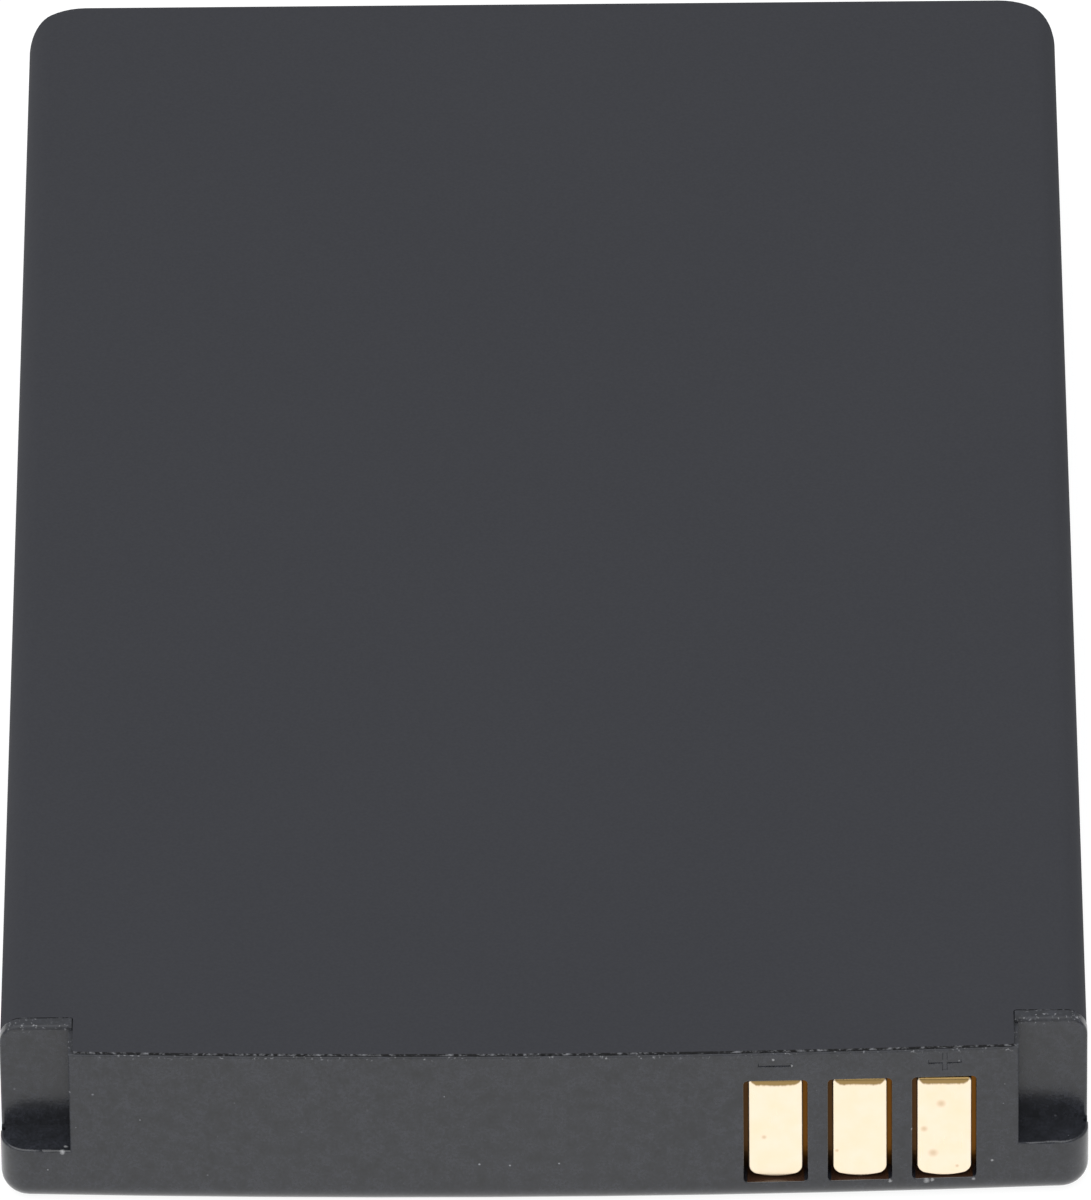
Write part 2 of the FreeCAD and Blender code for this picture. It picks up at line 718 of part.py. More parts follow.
tape = new_body("far_end_tape", 0, far_face - far_depth - s.tape_thickness, core_middle)
sketch = end_sketch(tape, "tape_outline", 0)
tape_half = core_half - s.tape_inset
tape_up = core_height / 2 - s.tape_inset
rectangle(sketch, -tape_half, tape_half, -tape_up, tape_up)
pad_in(tape, sketch, s.tape_thickness)


# Film wrapped round the cell and over both caps, open along a seam on the underside

film = new_body("label_film", y=contact_face)
film_inner = film_outer - s.film_thickness
film_low = s.film_inset + s.film_thickness
film_high = s.pack_thickness - s.film_thickness
wrap_start = s.cap_lip + s.film_margin
wrap_end = s.pack_length - s.far_lip - s.film_margin
sketch = end_sketch(film, "film_wrap", wrap_start)
rectangle(sketch, -film_outer, film_outer, s.film_inset, s.pack_thickness, (outer_radius,) * 4)
rectangle(sketch, -film_inner, film_inner, film_low, film_high, (inner_radius,) * 4)
pad_in(film, sketch, s.pack_length - wrap_start)
sketch = end_sketch(film, "film_foot", wrap_end)
rectangle(sketch, -half_width - 1, half_width + 1, -1, s.far_foot + s.film_margin)
pocket(film, sketch, s.pack_length)
sketch = plan_sketch(film, "film_trim", s.pack_thickness)
rectangle(sketch, -half_width - 1, half_width + 1, -2, s.pack_length + 1)
rectangle(sketch, -trim_half, trim_half, -1, s.pack_length - s.film_margin,
          (None, None, trim_corner, trim_corner))
pocket(film, sketch, s.pack_thickness)

film_side = collar_side - s.film_margin
film_notch_end = collar_end + s.film_margin
sketch = end_sketch(film, "film_notch", 0)
rectangle(sketch, film_side, half_width + 1, collar_low - s.film_margin, s.pack_thickness + 1)
mirror(film, pocket(film, sketch, film_notch_end))

sketch = plan_sketch(film, "film_front", film_high)
bowed_plate(sketch, film_side, s.film_margin, film_notch_end + 1, s.film_cut_radius)
pad(film, sketch, s.film_thickness)
sketch = end_sketch(film, "film_seam", wrap_start)
rectangle(sketch, -s.seam_offset - s.seam_gap, -s.seam_offset, -1, film_low + s.glue_gap / 2)
seam = pocket(film, sketch, wrap_end - wrap_start)


def on_cut_corner(box):
    upright = near(box.XMin, box.XMax) and near(box.YMin, box.YMax) and near(box.ZMax, s.pack_thickness)
    corner = near(box.YMin, film_notch_end) and near(abs(box.XMin), film_side)
    return upright and corner and box.ZLength > s.film_thickness.value / 2


soften(film, seam, s.film_cut_radius, on_cut_corner)


# Check every shape and write one file for each piece

pieces = [
    cap, *contacts, board, negative_land, positive_land, transistor, protection, resistors, capacitor,
    thermistor, can, gasket, rivet, paper, plate, cutoff, cell_lead, board_lead, positive_tab, far, tape,
    film,
]
doc.recompute()
for item in doc.Objects:
    if "Invalid" in item.State or "Error" in item.State:
        raise RuntimeError(f"{item.Name} did not build")
for piece in pieces:
    if piece.Shape.isNull() or not piece.Shape.isValid():
        raise RuntimeError(f"{piece.Label} has no sound shape")
os.makedirs("parts", exist_ok=True)
for piece in pieces:
    piece.Shape.exportStep(os.path.join("parts", f"{piece.Label}.step"))
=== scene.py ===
import math

import bmesh
import bpy
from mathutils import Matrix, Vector


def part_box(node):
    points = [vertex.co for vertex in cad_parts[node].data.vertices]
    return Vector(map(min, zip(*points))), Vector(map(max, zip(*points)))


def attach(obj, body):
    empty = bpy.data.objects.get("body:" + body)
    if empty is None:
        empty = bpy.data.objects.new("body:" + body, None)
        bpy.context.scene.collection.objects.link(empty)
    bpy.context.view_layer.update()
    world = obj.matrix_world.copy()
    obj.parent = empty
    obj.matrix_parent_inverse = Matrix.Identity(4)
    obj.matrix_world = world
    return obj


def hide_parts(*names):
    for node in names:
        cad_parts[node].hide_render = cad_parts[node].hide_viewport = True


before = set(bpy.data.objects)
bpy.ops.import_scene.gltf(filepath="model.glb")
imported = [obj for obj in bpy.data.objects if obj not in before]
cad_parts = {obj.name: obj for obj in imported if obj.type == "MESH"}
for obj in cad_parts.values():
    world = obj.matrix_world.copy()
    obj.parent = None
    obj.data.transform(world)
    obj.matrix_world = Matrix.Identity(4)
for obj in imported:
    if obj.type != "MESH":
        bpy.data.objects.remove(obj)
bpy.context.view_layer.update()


def linear(code):
    """An sRGB hex colour as linear red, green, blue and alpha."""
    parts = [int(code[i:i + 2], 16) / 255 for i in (1, 3, 5)]
    return [c / 12.92 if c <= 0.04045 else ((c + 0.055) / 1.055) ** 2.4 for c in parts] + [1.0]


def add(material, kind, sockets=None, **settings):
    """Adds a node with its settings; a socket takes a value or another node's output."""
    tree = material.node_tree
    made = tree.nodes.new("ShaderNode" + kind)
    for name, value in settings.items():
        setattr(made, name, value)
    for name, value in (sockets or {}).items():
        if isinstance(value, bpy.types.NodeSocket):
            tree.links.new(value, made.inputs[name])
        else:
            made.inputs[name].default_value = value
    return made


def new_material(name):
    """An empty material, with the piece's own coordinates in millimetres."""
    material = bpy.data.materials.new(name)
    material.use_nodes = True
    material.node_tree.nodes.clear()
    place = add(material, "TexCoord")
    in_mm = add(material, "VectorMath", {0: place.outputs["Object"], "Scale": 1000.0}, operation="SCALE")
    return material, in_mm.outputs["Vector"]


def show(material, surface):
    add(material, "OutputMaterial", {"Surface": surface.outputs[0]})


def dress(material, *names):
    """Puts a material on nodes of the solid model."""
    for name in names:
        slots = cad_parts[name].data.materials
        slots.clear()
        slots.append(material)


# Deep-drawn aluminium: fine draw lines run along the can and give it a soft streaked sheen.
aluminium, mm = new_material("aluminium_deep_drawn")
draw_line = 0.15
drawn = add(aluminium, "Mapping", {"Vector": mm, "Scale": (1 / draw_line, 0.02 / draw_line, 1 / draw_line)})
lines = add(aluminium, "TexNoise", {"Vector": drawn.outputs[0], "Scale": 1.0, "Detail": 4.0})
tone = add(aluminium, "ValToRGB", {"Fac": lines.outputs["Fac"]})
tone.color_ramp.elements[0].color = linear("#B6B8BB")
tone.color_ramp.elements[1].color = linear("#D4D6D8")
sheen = add(aluminium, "MapRange", {"Value": lines.outputs["Fac"], "To Min": 0.28, "To Max": 0.42})
relief = add(aluminium, "Bump", {"Height": lines.outputs["Fac"], "Strength": 0.3, "Distance": 0.00001})
show(aluminium, add(aluminium, "BsdfPrincipled", {
    "Base Color": tone.outputs[0], "Metallic": 1.0, "Roughness": sheen.outputs[0],
    "Normal": relief.outputs[0]}))
dress(aluminium, "cell_can")

# Terminal gasket
# A ring of natural nylon crimped into the lid, which keeps the rivet apart from the can.
nylon, mm = new_material("nylon_moulded_natural")
milky = add(nylon, "TexNoise", {"Vector": mm, "Scale": 1.5, "Detail": 3.0})
tone = add(nylon, "ValToRGB", {"Fac": milky.outputs["Fac"]})
tone.color_ramp.elements[0].color = linear("#DAD6C8")
tone.color_ramp.elements[1].color = linear("#EAE7DC")
relief = add(nylon, "Bump", {"Height": milky.outputs["Fac"], "Strength": 0.2, "Distance": 0.00002})
show(nylon, add(nylon, "BsdfPrincipled", {
    "Base Color": tone.outputs[0], "Roughness": 0.45, "IOR": 1.53, "Normal": relief.outputs[0]}))
dress(nylon, "terminal_gasket")

# Terminal rivet, weld plate, strips and board lands
# Nickel strip, rolled and slit, then spot welded: the way to the board for both poles of the cell.
# The rolled face is bright, with fine lines along the strip and a slight yellow cast.
nickel, mm = new_material("nickel_rolled")
roll_line = 0.08
rolled = add(nickel, "Mapping", {"Vector": mm, "Scale": (0.05 / roll_line, 1 / roll_line, 1 / roll_line)})
lines = add(nickel, "TexNoise", {"Vector": rolled.outputs[0], "Scale": 1.0, "Detail": 3.0})
tone = add(nickel, "ValToRGB", {"Fac": lines.outputs["Fac"]})
tone.color_ramp.elements[0].color = linear("#B4AFA4")
tone.color_ramp.elements[1].color = linear("#D0CBC0")
sheen = add(nickel, "MapRange", {"Value": lines.outputs["Fac"], "To Min": 0.22, "To Max": 0.38})
relief = add(nickel, "Bump", {"Height": lines.outputs["Fac"], "Strength": 0.3, "Distance": 0.000006})
show(nickel, add(nickel, "BsdfPrincipled", {
    "Base Color": tone.outputs[0], "Metallic": 1.0, "Roughness": sheen.outputs[0],
    "Normal": relief.outputs[0]}))
dress(nickel, "terminal_rivet", "weld_plate", "cutoff_lead_cell", "cutoff_lead_board", "positive_tab",
      "negative_land", "positive_land")

# Lid insulator
# Dense fish paper, die-cut with glue on one face, so that no strip can touch the can.
fish_paper, mm = new_material("paper_vulcanised_fibre")
fibre = add(fish_paper, "TexNoise", {"Vector": mm, "Scale": 4.0, "Detail": 6.0, "Roughness": 0.7})
tone = add(fish_paper, "ValToRGB", {"Fac": fibre.outputs["Fac"]})
tone.color_ramp.elements[0].color = linear("#7F8C72")
tone.color_ramp.elements[1].color = linear("#9CA88C")
relief = add(fish_paper, "Bump", {"Height": fibre.outputs["Fac"], "Strength": 0.4, "Distance": 0.00002})
show(fish_paper, add(fish_paper, "BsdfPrincipled", {
    "Base Color": tone.outputs[0], "Roughness": 0.8, "IOR": 1.5, "Normal": relief.outputs[0]}))
dress(fish_paper, "lid_insulator")

# Thermal cutoff
# A heat switch moulded in black liquid-crystal polymer, laid on the insulator beside the terminal.
switch_polymer, mm = new_material("polymer_moulded_black")
flow = add(switch_polymer, "TexNoise", {"Vector": mm, "Scale": 2.5, "Detail": 5.0})
tone = add(switch_polymer, "ValToRGB", {"Fac": flow.outputs["Fac"]})
tone.color_ramp.elements[0].color = linear("#1D1E20")
tone.color_ramp.elements[1].color = linear("#2A2B2E")
relief = add(switch_polymer, "Bump", {"Height": flow.outputs["Fac"], "Strength": 0.2, "Distance": 0.00002})
show(switch_polymer, add(switch_polymer, "BsdfPrincipled", {
    "Base Color": tone.outputs[0], "Roughness": 0.35, "IOR": 1.55, "Normal": relief.outputs[0]}))
dress(switch_polymer, "thermal_cutoff")

# Protection board
# A strip of glass laminate under brown solder mask, with bare gold-plated lands behind the contacts. It is
# seen only in the gaps round the contacts, where the lands show brown, with painted shade darkening the
# left of each.
contact_middle, contact_pitch, contact_width = 9.85, 2.63, 1.70
land_row = 1.5 * contact_pitch
land_half = 0.9
solder_mask, mm = new_material("laminate_brown_solder_mask")
weave = 0.6
across = add(solder_mask, "TexWave", {"Vector": mm, "Scale": 1 / weave, "Distortion": 0.6})
upward = add(solder_mask, "TexWave", {
    "Vector": mm, "Scale": 1 / weave, "Distortion": 0.6}, bands_direction="Z")
cloth = add(solder_mask, "Math", {0: across.outputs["Fac"], 1: upward.outputs["Fac"]}, operation="MULTIPLY")
tone = add(solder_mask, "ValToRGB", {"Fac": cloth.outputs[0]})
tone.color_ramp.elements[0].color = linear("#1A1009")
tone.color_ramp.elements[1].color = linear("#26180D")
place = add(solder_mask, "SeparateXYZ", {0: mm})
from_middle = add(solder_mask, "Math", {0: place.outputs["X"], 1: contact_middle}, operation="SUBTRACT")
in_pitch = add(solder_mask, "Math", {
    0: from_middle.outputs[0], 1: contact_pitch / 2, 2: -contact_pitch / 2}, operation="WRAP")
# Painted shade: each land is darker towards its left, where the gap beside the contact lies in shade.
shade_across_land = add(solder_mask, "MapRange", {
    "Value": in_pitch.outputs[0], "From Min": -land_half, "From Max": land_half})
land = add(solder_mask, "ValToRGB", {"Fac": shade_across_land.outputs[0]})
land.color_ramp.elements[0].color = linear("#533A22")
land.color_ramp.elements[1].color = linear("#72491A")
bare = add(solder_mask, "Math", {0: from_middle.outputs[0], 1: 0.0, 2: land_row}, operation="COMPARE")
colour = add(solder_mask, "Mix", {
    "Factor": bare.outputs[0], 6: tone.outputs[0], 7: land.outputs[0]}, data_type="RGBA")
relief = add(solder_mask, "Bump", {"Height": cloth.outputs[0], "Strength": 0.2, "Distance": 0.00001})
show(solder_mask, add(solder_mask, "BsdfPrincipled", {
    "Base Color": colour.outputs[2], "Metallic": bare.outputs[0], "Roughness": 0.3, "IOR": 1.52,
    "Normal": relief.outputs[0]}))
dress(solder_mask, "protection_board")

# Chips on the board
# Two chips in moulded epoxy, and chip resistors, capacitor and thermistor of fired ceramic.
epoxy, mm = new_material("epoxy_moulded_chip")
filler = add(epoxy, "TexNoise", {"Vector": mm, "Scale": 12.0, "Detail": 3.0})
tone = add(epoxy, "ValToRGB", {"Fac": filler.outputs["Fac"]})
tone.color_ramp.elements[0].color = linear("#1A1A1B")
tone.color_ramp.elements[1].color = linear("#2B2B2C")
relief = add(epoxy, "Bump", {"Height": filler.outputs["Fac"], "Strength": 0.4, "Distance": 0.00001})
show(epoxy, add(epoxy, "BsdfPrincipled", {
    "Base Color": tone.outputs[0], "Roughness": 0.6, "IOR": 1.54, "Normal": relief.outputs[0]}))
dress(epoxy, "protection_chip", "switch_transistor")

for title, dark, light, names in (
    ("ceramic_fired_black", "#1F1F22", "#303034", ("chip_resistors", "thermistor")),
    ("ceramic_fired_tan", "#8F7656", "#A98D69", ("chip_capacitor",)),
):
    ceramic, mm = new_material(title)
    grain = add(ceramic, "TexNoise", {"Vector": mm, "Scale": 8.0, "Detail": 4.0})
    tone = add(ceramic, "ValToRGB", {"Fac": grain.outputs["Fac"]})
    tone.color_ramp.elements[0].color = linear(dark)
    tone.color_ramp.elements[1].color = linear(light)
    relief = add(ceramic, "Bump", {"Height": grain.outputs["Fac"], "Strength": 0.3, "Distance": 0.00001})
    show(ceramic, add(ceramic, "BsdfPrincipled", {
        "Base Color": tone.outputs[0], "Roughness": 0.4, "IOR": 1.7, "Normal": relief.outputs[0]}))
    dress(ceramic, *names)

# Contacts
# Three stamped nickel plates under pale hard gold, soldered on the board so that they stand in the windows.
# Their tops are bent back under the window's edge, and stamping rolls the other edges over.
edge_roll = 0.00005
top_bend = 0.00016
low_corner = 0.00034
low_bow = 0.00010
top_corner = 0.00016


def half_width_at(z, low, high):
    """Half the plate's width at a height, narrower where its corners are round."""
    half = (high.x - low.x) / 2
    for corner, rise in ((low_corner, z - low.z), (top_corner, high.z - z)):
        if rise < corner:
            half -= corner - math.sqrt(max(0.0, corner ** 2 - (corner - rise) ** 2))
    return half


def round_over(inside, radius):
    """How far a rounded edge has dropped at a distance inside its outline."""
    if inside >= radius:
        return 0.0
    return radius - math.sqrt(max(0.0, radius ** 2 - (radius - inside) ** 2))


def ease(count):
    """Steps from 0 to 1 that crowd together at both ends."""
    return [(1 - math.cos(math.pi * i / count)) / 2 for i in range(count + 1)]


def stamped_plate(name, node):
    """A plate in the place of a solid, with its top bent back and its edges rolled over."""
    low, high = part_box(node)
    middle = (low.x + high.x) / 2
    mesh = bmesh.new()
    rows = []
    for rise in ease(48):
        z = low.z + rise * (high.z - low.z)
        half = half_width_at(z, low, high)
        bend = round_over(high.z - z, top_bend)
        row = []
        for across in ease(32):
            x = middle + (2 * across - 1) * half
            inside = min(half - abs(x - middle), z - low.z)
            lift = low_bow * (2 * across - 1) ** 2 * (1 - rise)
            row.append(mesh.verts.new((x, low.y + bend + round_over(inside, edge_roll), z + lift)))
        rows.append(row)
    for lower, upper in zip(rows, rows[1:]):
        for i in range(len(lower) - 1):
            mesh.faces.new((lower[i], lower[i + 1], upper[i + 1], upper[i]))
    rim = rows[0] + [row[-1] for row in rows[1:]] + rows[-1][-2::-1] + [row[0] for row in rows[-2:0:-1]]
    back = [mesh.verts.new((corner.co.x, high.y, corner.co.z)) for corner in rim]
    for i in range(len(rim)):
        mesh.faces.new((rim[i - 1], back[i - 1], back[i], rim[i]))
    mesh.faces.new(back)
    bmesh.ops.remove_doubles(mesh, verts=mesh.verts, dist=0.0000005)
    bmesh.ops.recalc_face_normals(mesh, faces=mesh.faces)
    data = bpy.data.meshes.new(name)
    mesh.to_mesh(data)
    mesh.free()
    data.shade_smooth()
    data.set_sharp_from_angle(angle=math.radians(50))
    plate = bpy.data.objects.new(name, data)
    bpy.context.collection.objects.link(plate)
    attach(plate, "root")
    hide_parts(node)
    return plate


# Hard gold plate: a smooth satin metal, wiped in fine upright lines, with a few faint brown stains and a
# dark line of painted shade along the bend, standing in for the dark window edge reflected there. The line
# stops short of the corners.
contact_face = -28.22
stains = [
    (12.385, 3.72, 0.14), (11.855, 2.73, 0.11), (12.135, 1.78, 0.15), (12.885, 1.26, 0.06),
    (6.86, 2.45, 0.08), (9.13, 1.90, 0.06)]
bend_shade_low, bend_shade_high = 4.57, 4.64
gold, mm = new_material("gold_plate_over_nickel")
wiped = add(gold, "Mapping", {"Vector": mm, "Scale": (16.0, 16.0, 0.8)})
wipe = add(gold, "TexNoise", {"Vector": wiped.outputs[0], "Scale": 1.0, "Detail": 3.0})
cloud = add(gold, "TexNoise", {"Vector": mm, "Scale": 1.6, "Detail": 4.0})
tone = add(gold, "ValToRGB", {"Fac": cloud.outputs["Fac"]})
tone.color_ramp.elements[0].position = 0.3
tone.color_ramp.elements[1].position = 0.7
tone.color_ramp.elements[0].color = linear("#FFEBCC")
tone.color_ramp.elements[1].color = linear("#FFEFD7")
colour = tone.outputs[0]
for x, z, radius in stains:
    apart = add(gold, "VectorMath", {0: mm, 1: (x, contact_face, z)}, operation="DISTANCE")
    blot = add(gold, "MapRange", {
        "Value": apart.outputs["Value"], "From Min": 0.3 * radius, "From Max": 1.3 * radius, "To Min": 0.4,
        "To Max": 0.0})
    stained = add(gold, "Mix", {
        "Factor": blot.outputs[0], 6: colour, 7: linear("#B98A48")}, data_type="RGBA")
    colour = stained.outputs[2]
height = add(gold, "SeparateXYZ", {0: mm})
uneven = add(gold, "Math", {
    0: cloud.outputs["Fac"], 1: 0.15, 2: height.outputs["Z"]}, operation="MULTIPLY_ADD")
from_middle = add(gold, "Math", {0: height.outputs["X"], 1: contact_middle}, operation="SUBTRACT")
in_pitch = add(gold, "Math", {
    0: from_middle.outputs[0], 1: contact_pitch / 2, 2: -contact_pitch / 2}, operation="WRAP")
outward = add(gold, "Math", {0: in_pitch.outputs[0], 1: contact_width / 2}, operation="DIVIDE")
aside = add(gold, "Math", {0: outward.outputs[0]}, operation="ABSOLUTE")
corner = add(gold, "Math", {0: aside.outputs[0], 1: 9.0}, operation="POWER")
curved = add(gold, "Math", {
    0: corner.outputs[0], 1: -0.40, 2: uneven.outputs[0]}, operation="MULTIPLY_ADD")
frayed = add(gold, "Math", {
    0: wipe.outputs["Fac"], 1: 0.09, 2: curved.outputs[0]}, operation="MULTIPLY_ADD")
# Painted shade: a dull dark line along the bend, a painted reflection of the dark window edge above the
# rounded top.
bend = add(gold, "MapRange", {
    "Value": frayed.outputs[0], "From Min": bend_shade_low, "From Max": bend_shade_high, "To Min": 0.0,
    "To Max": 0.9})
painted_bend_shade = add(gold, "Mix", {"Factor": bend.outputs[0], 6: colour, 7: linear("#8A6C2C")}, data_type="RGBA")
colour = painted_bend_shade.outputs[2]
sheen = add(gold, "MapRange", {"Value": wipe.outputs["Fac"], "To Min": 0.24, "To Max": 0.36})
relief = add(gold, "Bump", {"Height": wipe.outputs["Fac"], "Strength": 0.15, "Distance": 0.000004})
show(gold, add(gold, "BsdfPrincipled", {
    "Base Color": colour, "Metallic": 1.0, "Roughness": sheen.outputs[0], "Normal": relief.outputs[0]}))
for name in ("contact_negative", "contact_sense", "contact_positive"):
    stamped_plate(name + "_plate", name).data.materials.append(gold)

# Contact end cap and far end cap
# Both are moulded in near-black PC/ABS from a finely spark-eroded tool. The contact end cap is clipped
# over the board, and the far one is taped to the foot of the can. Sunk signs mark the outer poles.
sign_reach, sign_rise = 0.00054, 0.00038
sign_stroke = 0.00020
sign_depth, sign_draft = 0.00004, 0.00004
end_bow = 0.0004
cap_low, cap_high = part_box("contact_end_cap")


def end_face_y(x):
    """Where the bowed end face lies, this far from its middle."""
    return cap_low.y + end_bow * (x / cap_high.x) ** 2


def sign_cutter(name, x, z, bars):
    """Bars with drafted sides that cut a sign into the end face."""
    mesh = bmesh.new()
    for half_x, half_z in bars:
        block = bmesh.ops.create_cube(mesh, size=2.0)["verts"]
        for corner in block:
            draft = sign_draft if corner.co.y > 0 else 0.0
            along = x + math.copysign(half_x - draft, corner.co.x)
            up = z + math.copysign(half_z - draft, corner.co.z)
            corner.co = Vector((along, end_face_y(along) + corner.co.y * sign_depth, up))
    data = bpy.data.meshes.new(name)
    mesh.to_mesh(data)
    mesh.free()
    cutter = bpy.data.objects.new(name, data)
    bpy.context.collection.objects.link(cutter)
    cutter.hide_render = True
    cutter.hide_viewport = True
    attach(cutter, "root")
    return cutter


half = sign_stroke / 2
cutters = [
    sign_cutter("minus_cutter", 0.00720, 0.00544, [(sign_reach, half)]),
    sign_cutter("plus_cutter", 0.01250, 0.00541, [(sign_reach, half), (half, sign_rise)]),
]
for cutter in cutters:
    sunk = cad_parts["contact_end_cap"].modifiers.new(cutter.name, "BOOLEAN")
    sunk.object = cutter
    sunk.operation = "DIFFERENCE"
    sunk.solver = "EXACT"
    sunk.use_self = True

# Spark-eroded PC/ABS: almost black in itself, with a fine even grain that spreads the reflections of pale
# things about. The grain is drawn at 0.1 mm, a little coarser than real, so that it shows. Dust and pale
# nicks gather on the rubbed upper rim and round the windows, and the window sills are painted brown as
# painted bounce light from the gold plates.
sill_height = 0.83
nicked_low, nicked_high = 5.72, 5.84
rubbed_low, rubbed_high = 5.80, 5.86
fray = 0.12
scuffs = [
    (-15.05, -28.18, 2.06, 0.11), (-14.95, -27.95, 2.10, 0.07), (16.70, -28.11, 2.06, 0.09),
    (11.93, -28.30, 0.75, 0.12), (12.10, -28.30, 0.77, 0.08), (13.39, -28.25, 0.76, 0.07),
    (10.80, -28.34, 0.77, 0.07), (11.47, -28.31, 2.79, 0.05), (13.98, -28.23, 1.48, 0.05),
    (7.15, -28.43, 5.65, 0.05), (7.72, -28.41, 5.42, 0.05), (12.95, -28.27, 5.41, 0.05),
    (-14.80, -28.20, 4.42, 0.06)]
grain_size = 0.10
plastic, mm = new_material("pc_abs_spark_eroded")
grain = add(plastic, "TexNoise", {"Vector": mm, "Scale": 1 / grain_size, "Detail": 2.0, "Roughness": 0.6})
cloud = add(plastic, "TexNoise", {"Vector": mm, "Scale": 2.2, "Detail": 4.0, "Roughness": 0.6})
mottle = add(plastic, "Math", {0: grain.outputs["Fac"], 1: cloud.outputs["Fac"]}, operation="MULTIPLY")
tone = add(plastic, "ValToRGB", {"Fac": mottle.outputs[0]})
tone.color_ramp.elements[0].position = 0.12
tone.color_ramp.elements[1].position = 0.40
tone.color_ramp.elements[0].color = linear("#121418")
tone.color_ramp.elements[1].color = linear("#2A2C33")
dust = add(plastic, "TexVoronoi", {"Vector": mm, "Scale": 2.0, "Randomness": 1.0})
thin = add(plastic, "SeparateColor", {"Color": dust.outputs["Color"]})
size = add(plastic, "MapRange", {
    "Value": thin.outputs[0], "From Min": 0.4, "To Min": 0.0, "To Max": 0.085})
speck = add(plastic, "Math", {0: dust.outputs["Distance"], 1: size.outputs[0]}, operation="LESS_THAN")
specks = add(plastic, "Math", {0: speck.outputs[0], 1: thin.outputs[1]}, operation="MULTIPLY")
dusty = add(plastic, "Mix", {
    "Factor": specks.outputs[0], 6: tone.outputs[0], 7: linear("#85878B")}, data_type="RGBA")
height = add(plastic, "SeparateXYZ", {0: mm})
rim = add(plastic, "MapRange", {
    "Value": height.outputs["Z"], "From Min": nicked_low, "From Max": nicked_high})
nicks = add(plastic, "TexNoise", {"Vector": mm, "Scale": 7.0, "Detail": 3.0, "Roughness": 0.7})
nick = add(plastic, "MapRange", {
    "Value": nicks.outputs["Fac"], "From Min": 0.60, "From Max": 0.70, "To Min": 0.0, "To Max": 0.8})
on_rim = add(plastic, "Math", {0: nick.outputs[0], 1: rim.outputs[0]}, operation="MULTIPLY")
worn = add(plastic, "Mix", {
    "Factor": on_rim.outputs[0], 6: dusty.outputs[2], 7: linear("#9C9DA0")}, data_type="RGBA")
colour = worn.outputs[2]
for x, y, z, radius in scuffs:
    apart = add(plastic, "VectorMath", {0: mm, 1: (x, y, z)}, operation="DISTANCE")
    ragged = add(plastic, "Math", {
        0: grain.outputs["Fac"], 1: fray, 2: apart.outputs["Value"]}, operation="MULTIPLY_ADD")
    pale = add(plastic, "MapRange", {
        "Value": ragged.outputs[0], "From Min": fray / 2 + 0.3 * radius, "From Max": fray / 2 + radius,
        "To Min": 0.7, "To Max": 0.0})
    scuffed = add(plastic, "Mix", {
        "Factor": pale.outputs[0], 6: colour, 7: linear("#A4A5A6")}, data_type="RGBA")
    colour = scuffed.outputs[2]
facing = add(plastic, "NewGeometry")
upward = add(plastic, "SeparateXYZ", {0: facing.outputs["Normal"]})
level = add(plastic, "Math", {0: upward.outputs["Z"], 1: 0.95}, operation="GREATER_THAN")
by_window = add(plastic, "Math", {
    0: height.outputs["X"], 1: contact_middle, 2: land_row}, operation="COMPARE")
low_down = add(plastic, "Math", {0: height.outputs["Z"], 1: sill_height, 2: 0.1}, operation="COMPARE")
on_row = add(plastic, "Math", {0: level.outputs[0], 1: by_window.outputs[0]}, operation="MULTIPLY")
on_sill = add(plastic, "Math", {0: on_row.outputs[0], 1: low_down.outputs[0]}, operation="MULTIPLY")
# Painted bounce light: upward faces of the window sills are tinted brown, as if lit by light off the gold
# plates.
sill_painted_bounce = add(plastic, "Mix", {
    "Factor": on_sill.outputs[0], 6: colour, 7: linear("#3E2A1F")}, data_type="RGBA")
colour = sill_painted_bounce.outputs[2]
rubbed = add(plastic, "MapRange", {
    "Value": height.outputs["Z"], "From Min": rubbed_low, "From Max": rubbed_high,
    "To Min": 0.0, "To Max": 0.6})
grained = add(plastic, "MapRange", {"Value": grain.outputs["Fac"], "To Min": 0.18, "To Max": 0.30})
sheen = add(plastic, "Math", {0: grained.outputs[0], 1: rubbed.outputs[0]}, operation="MAXIMUM")
relief = add(plastic, "Bump", {"Height": grain.outputs["Fac"], "Strength": 0.5, "Distance": 0.00001})
show(plastic, add(plastic, "BsdfPrincipled", {
    "Base Color": colour, "Roughness": sheen.outputs[0], "IOR": 1.6, "Normal": relief.outputs[0]}))
dress(plastic, "contact_end_cap", "far_end_cap")

# Far end tape
# White double-sided tape between the far end cap and the foot of the can.
tape, mm = new_material("acrylic_tape_tissue")
tissue = add(tape, "TexNoise", {"Vector": mm, "Scale": 3.0, "Detail": 6.0})
tone = add(tape, "ValToRGB", {"Fac": tissue.outputs["Fac"]})
tone.color_ramp.elements[0].color = linear("#DCDCD8")
tone.color_ramp.elements[1].color = linear("#EFEFEC")
relief = add(tape, "Bump", {"Height": tissue.outputs["Fac"], "Strength": 0.3, "Distance": 0.00002})
show(tape, add(tape, "BsdfPrincipled", {
    "Base Color": tone.outputs[0], "Roughness": 0.5, "IOR": 1.47, "Normal": relief.outputs[0]}))
dress(tape, "far_end_tape")

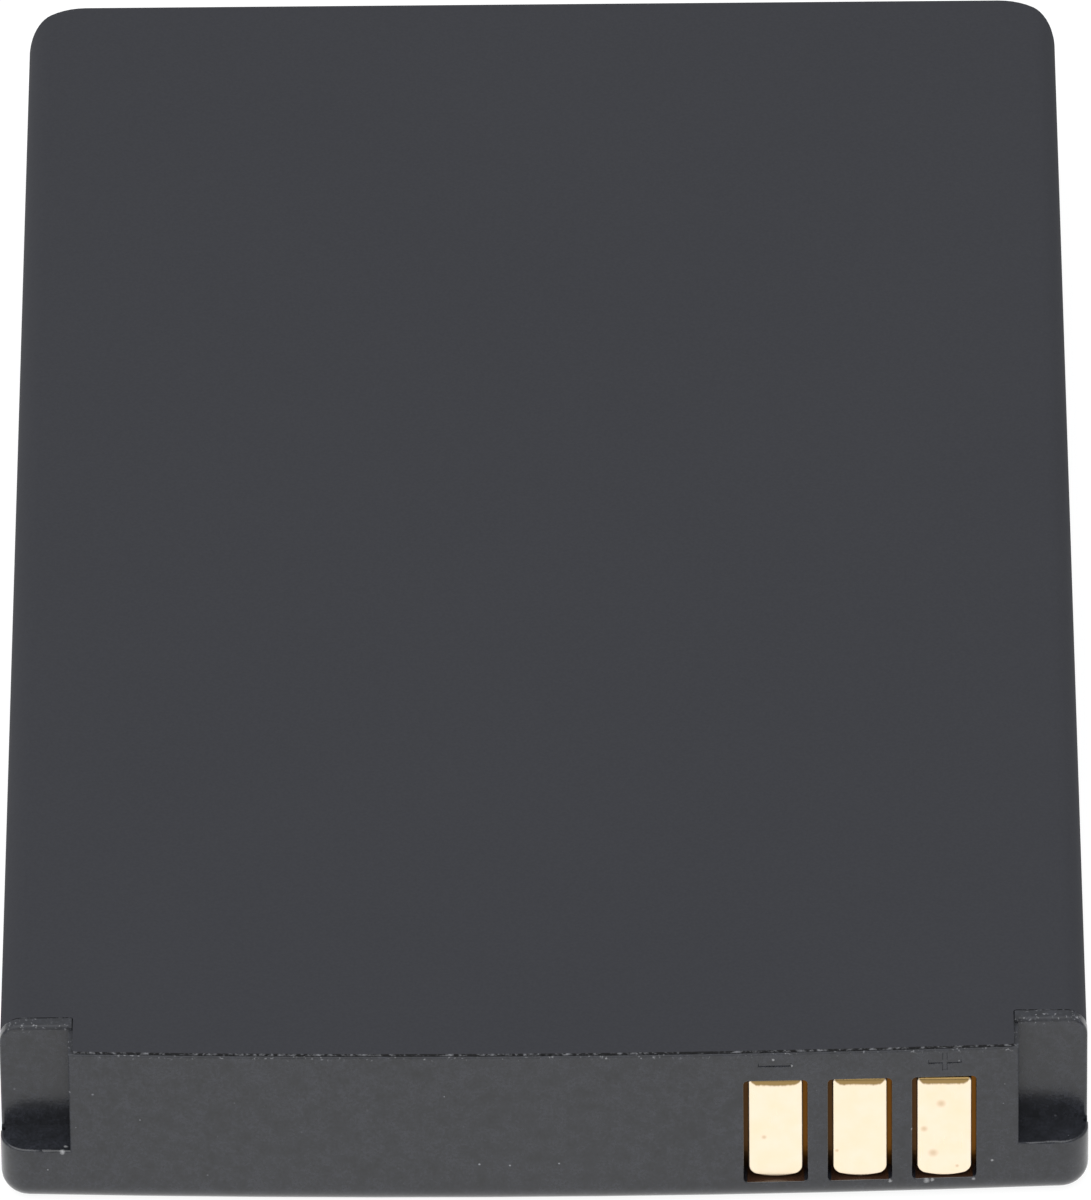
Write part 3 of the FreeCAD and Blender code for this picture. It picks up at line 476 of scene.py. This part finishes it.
# Label film
# Dark grey polyester film with a matt lacquer, die-cut and wrapped once round the pack, its seam below.
# The lacquer has a fine even tooth and is bare of print; the cut ends are ragged, black with pale specks.
film, mm = new_material("polyester_film_matt_lacquer")
tooth_size = 0.09
cut_facing = 0.7
tooth = add(film, "TexNoise", {"Vector": mm, "Scale": 1 / tooth_size, "Detail": 2.0})
cloud = add(film, "TexNoise", {"Vector": mm, "Scale": 0.12, "Detail": 3.0})
tone = add(film, "ValToRGB", {"Fac": tooth.outputs["Fac"]})
tone.color_ramp.elements[0].position = 0.3
tone.color_ramp.elements[1].position = 0.7
tone.color_ramp.elements[0].color = linear("#2B2C31")
tone.color_ramp.elements[1].color = linear("#2F3035")
facing = add(film, "NewGeometry")
along = add(film, "SeparateXYZ", {0: facing.outputs["Normal"]})
endwise = add(film, "Math", {0: along.outputs["Y"]}, operation="ABSOLUTE")
cut = add(film, "Math", {0: endwise.outputs[0], 1: cut_facing}, operation="GREATER_THAN")
ragged = add(film, "TexNoise", {"Vector": mm, "Scale": 6.0, "Detail": 3.0, "Roughness": 0.7})
edge = add(film, "ValToRGB", {"Fac": ragged.outputs["Fac"]})
edge.color_ramp.elements[0].position = 0.48
edge.color_ramp.elements[1].position = 0.68
edge.color_ramp.elements[0].color = linear("#08080A")
edge.color_ramp.elements[1].color = linear("#77787C")
colour = add(film, "Mix", {
    "Factor": cut.outputs[0], 6: tone.outputs[0], 7: edge.outputs[0]}, data_type="RGBA")
sheen = add(film, "MapRange", {"Value": cloud.outputs["Fac"], "To Min": 0.82, "To Max": 0.92})
relief = add(film, "Bump", {"Height": tooth.outputs["Fac"], "Strength": 0.12, "Distance": 0.00001})
show(film, add(film, "BsdfPrincipled", {
    "Base Color": colour.outputs[2], "Roughness": sheen.outputs[0], "IOR": 1.48,
    "Normal": relief.outputs[0]}))
dress(film, "label_film")

# Floor, light and walls
# A white sheet of card under a very broad soft box that hangs above and in front, in a dim pale room.
# The card shows white to the eye and in reflections, and keeps part of the pack's shadow.
reach = 4
floor_mesh = bpy.data.meshes.new("floor")
floor_mesh.from_pydata(
    [(-reach, -reach, 0), (reach, -reach, 0), (reach, reach, 0), (-reach, reach, 0)], [], [(0, 1, 2, 3)])
floor = bpy.data.objects.new("floor", floor_mesh)
bpy.context.collection.objects.link(floor)
card, _ = new_material("white_card")
ray = add(card, "LightPath")
seen = add(card, "Math", {0: ray.outputs["Is Camera Ray"], 1: 0.8}, operation="MULTIPLY")
mirrored = add(card, "Math", {
    0: ray.outputs["Is Glossy Ray"], 1: ray.outputs["Is Transmission Ray"]}, operation="MAXIMUM")
share = add(card, "Math", {0: seen.outputs[0], 1: mirrored.outputs[0]}, operation="MAXIMUM")
lit = add(card, "BsdfDiffuse", {"Color": linear("#F6F6F6")})
glow = add(card, "Emission", {"Color": linear("#FFFFFF"), "Strength": 1.12})
show(card, add(card, "MixShader", {0: share.outputs[0], 1: lit.outputs[0], 2: glow.outputs[0]}))
floor_mesh.materials.append(card)

world = bpy.context.scene.world or bpy.data.worlds.new("walls")
bpy.context.scene.world = world
world.use_nodes = True
walls = world.node_tree.nodes["Background"]
walls.inputs["Color"].default_value = linear("#F4F6FA")
walls.inputs["Strength"].default_value = 0.55

lamp = bpy.data.lights.new("soft_box", "AREA")
lamp.shape = "RECTANGLE"
lamp.size, lamp.size_y = 2.2, 2.0
lamp.energy = 22.0
soft_box = bpy.data.objects.new("soft_box", lamp)
bpy.context.collection.objects.link(soft_box)
soft_box.location = (-0.25, -0.45, 1.20)
soft_box.rotation_mode = "QUATERNION"
soft_box.rotation_quaternion = (-soft_box.location).to_track_quat("-Z", "Y")

# Camera
# A long lens in front of the contact end, a little right of the middle and tipped slightly.
image_height = 1200
focal_pixels = 22802.8
elevation, azimuth, roll = math.radians(36.476), math.radians(0.367), math.radians(-0.698)
distance = 0.7335
aim = Vector((0.0000662, -0.0006694, 0.003))
camera_data = bpy.data.cameras.new("camera")
camera_data.sensor_width = 36.0
camera_data.lens = focal_pixels / image_height * camera_data.sensor_width
camera = bpy.data.objects.new("camera", camera_data)
bpy.context.collection.objects.link(camera)
back = Vector((math.sin(azimuth) * math.cos(elevation), -math.cos(azimuth) * math.cos(elevation),
               math.sin(elevation)))
camera.location = aim + back * distance
camera.rotation_euler = (math.pi / 2 - elevation, 0, azimuth)
camera.rotation_euler.rotate_axis("Z", roll)
bpy.context.scene.camera = camera
bpy.context.scene.view_settings.view_transform = "Standard"
